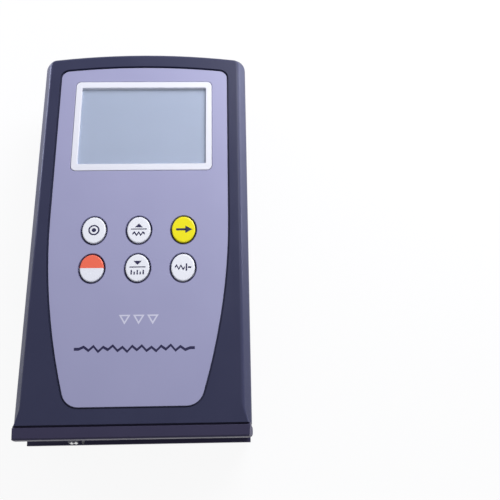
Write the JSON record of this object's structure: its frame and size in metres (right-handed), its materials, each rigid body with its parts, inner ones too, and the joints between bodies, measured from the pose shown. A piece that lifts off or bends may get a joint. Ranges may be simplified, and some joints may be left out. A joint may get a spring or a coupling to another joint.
{
  "type": "surface roughness tester",
  "caption": "Hand-held surface roughness tester with a display, oval keys, and a skid and stylus that traverse in a channel across its measuring base.",
  "frame": {"origin": "middle of the footprint, on the back that it lies on", "axes": "+Z out of the face, +Y from the measuring base to the display end, +X to the right of the face"},
  "size_m": [0.0754, 0.143, 0.034],
  "materials": {
    "housing": "fine textured moulding",
    "base": "fine textured moulding",
    "panel": "satin printed film",
    "white": "satin",
    "window": "clear",
    "display": "satin",
    "light_guide": "smooth",
    "key_white": "satin",
    "key_yellow": "satin",
    "key_red": "satin",
    "board": "solder mask",
    "black": "moulded",
    "steel": "ground",
    "zinc": "zinc plated",
    "sheet": "pressed sheet",
    "bronze": "turned",
    "natural": "machined",
    "cell": "printed sleeve",
    "nickel": "nickel plated",
    "copper": "enamelled wire",
    "diamond": "polished"
  },
  "bodies": {
    "housing": {"front_cover": "housing", "rear_cover": "housing", "base_cap": "base", "overlay": "panel", "display_bezel": "white", "display_window": "window", "lcd_glass": "display", "lcd_backlight": "light_guide", "main_board": "board", "board_chips": "black", "tact_switches": "black", "home_switch": "black", "board_screws": "zinc", "case_screws": "zinc", "base_screws": "zinc", "chassis_screws": "zinc", "battery_springs": "nickel", "battery_plates": "nickel", "battery_cell_1": "cell", "battery_cell_2": "cell", "battery_cell_3": "cell", "battery_cell_4": "cell", "drive_chassis": "sheet", "guide_rods": "steel", "bearing_bushes": "bronze", "drive_motor": "zinc"},
    "traverse_screw": {"lead_screw": "steel", "screw_gear": "natural"},
    "motor_spindle": {"motor_shaft": "steel", "motor_pinion": "bronze"},
    "carriage": {"pickup_carriage": "natural", "pickup_tube": "steel", "pickup_skid": "nickel", "sensor_coils": "copper", "pivot_pin": "steel"},
    "stylus": {"stylus_arm": "nickel", "stylus_tip": "diamond"},
    "door": {"battery_door": "housing"},
    "key_calibrate": {"key_calibrate": "key_white"},
    "key_up": {"key_up": "key_white"},
    "key_start": {"key_start": "key_yellow"},
    "key_power": {"key_power": "key_red"},
    "key_down": {"key_down": "key_white"},
    "key_cutoff": {"key_cutoff": "key_white"}
  },
  "joints": [
    {"name": "screw_turn", "type": "hinge", "parent": "housing", "child": "traverse_screw", "pos_m": [0, -0.0519, 0.0195], "axis": [-1, 0, 0], "range_deg": [0, 3150]},
    {"name": "carriage_travel", "type": "slide", "parent": "housing", "child": "carriage", "axis": [1, 0, 0], "range_m": [0, 0.0175]},
    {"name": "pinion_turn", "type": "hinge", "parent": "housing", "child": "motor_spindle", "pos_m": [0, -0.0519, 0.00845], "axis": [-1, 0, 0], "range_deg": [-6750, 0]},
    {"name": "stylus_swing", "type": "hinge", "parent": "carriage", "child": "stylus", "pos_m": [-0.006, -0.0625, 0.0205], "axis": [0, 0, 1], "range_deg": [-1.5, 1.5], "stiffness_Nm_per_rad": 0.0017},
    {"name": "battery_door_slide", "type": "slide", "parent": "housing", "child": "door", "axis": [0, -1, 0], "range_m": [0, 0.006]},
    {"name": "key_calibrate_press", "type": "slide", "parent": "housing", "child": "key_calibrate", "axis": [0, 0, -1], "range_m": [0, 0.0005], "stiffness_N_per_m": 1500, "springref_m": -0.0002},
    {"name": "key_up_press", "type": "slide", "parent": "housing", "child": "key_up", "axis": [0, 0, -1], "range_m": [0, 0.0005], "stiffness_N_per_m": 1500, "springref_m": -0.0002},
    {"name": "key_start_press", "type": "slide", "parent": "housing", "child": "key_start", "axis": [0, 0, -1], "range_m": [0, 0.0005], "stiffness_N_per_m": 1500, "springref_m": -0.0002},
    {"name": "key_power_press", "type": "slide", "parent": "housing", "child": "key_power", "axis": [0, 0, -1], "range_m": [0, 0.0005], "stiffness_N_per_m": 1500, "springref_m": -0.0002},
    {"name": "key_down_press", "type": "slide", "parent": "housing", "child": "key_down", "axis": [0, 0, -1], "range_m": [0, 0.0005], "stiffness_N_per_m": 1500, "springref_m": -0.0002},
    {"name": "key_cutoff_press", "type": "slide", "parent": "housing", "child": "key_cutoff", "axis": [0, 0, -1], "range_m": [0, 0.0005], "stiffness_N_per_m": 1500, "springref_m": -0.0002}
  ],
  "couplings": [
    {"joint": "screw_turn", "follows": "carriage_travel", "rad_per_m": 3141.6},
    {"joint": "pinion_turn", "follows": "carriage_travel", "rad_per_m": -6732}
  ]
}
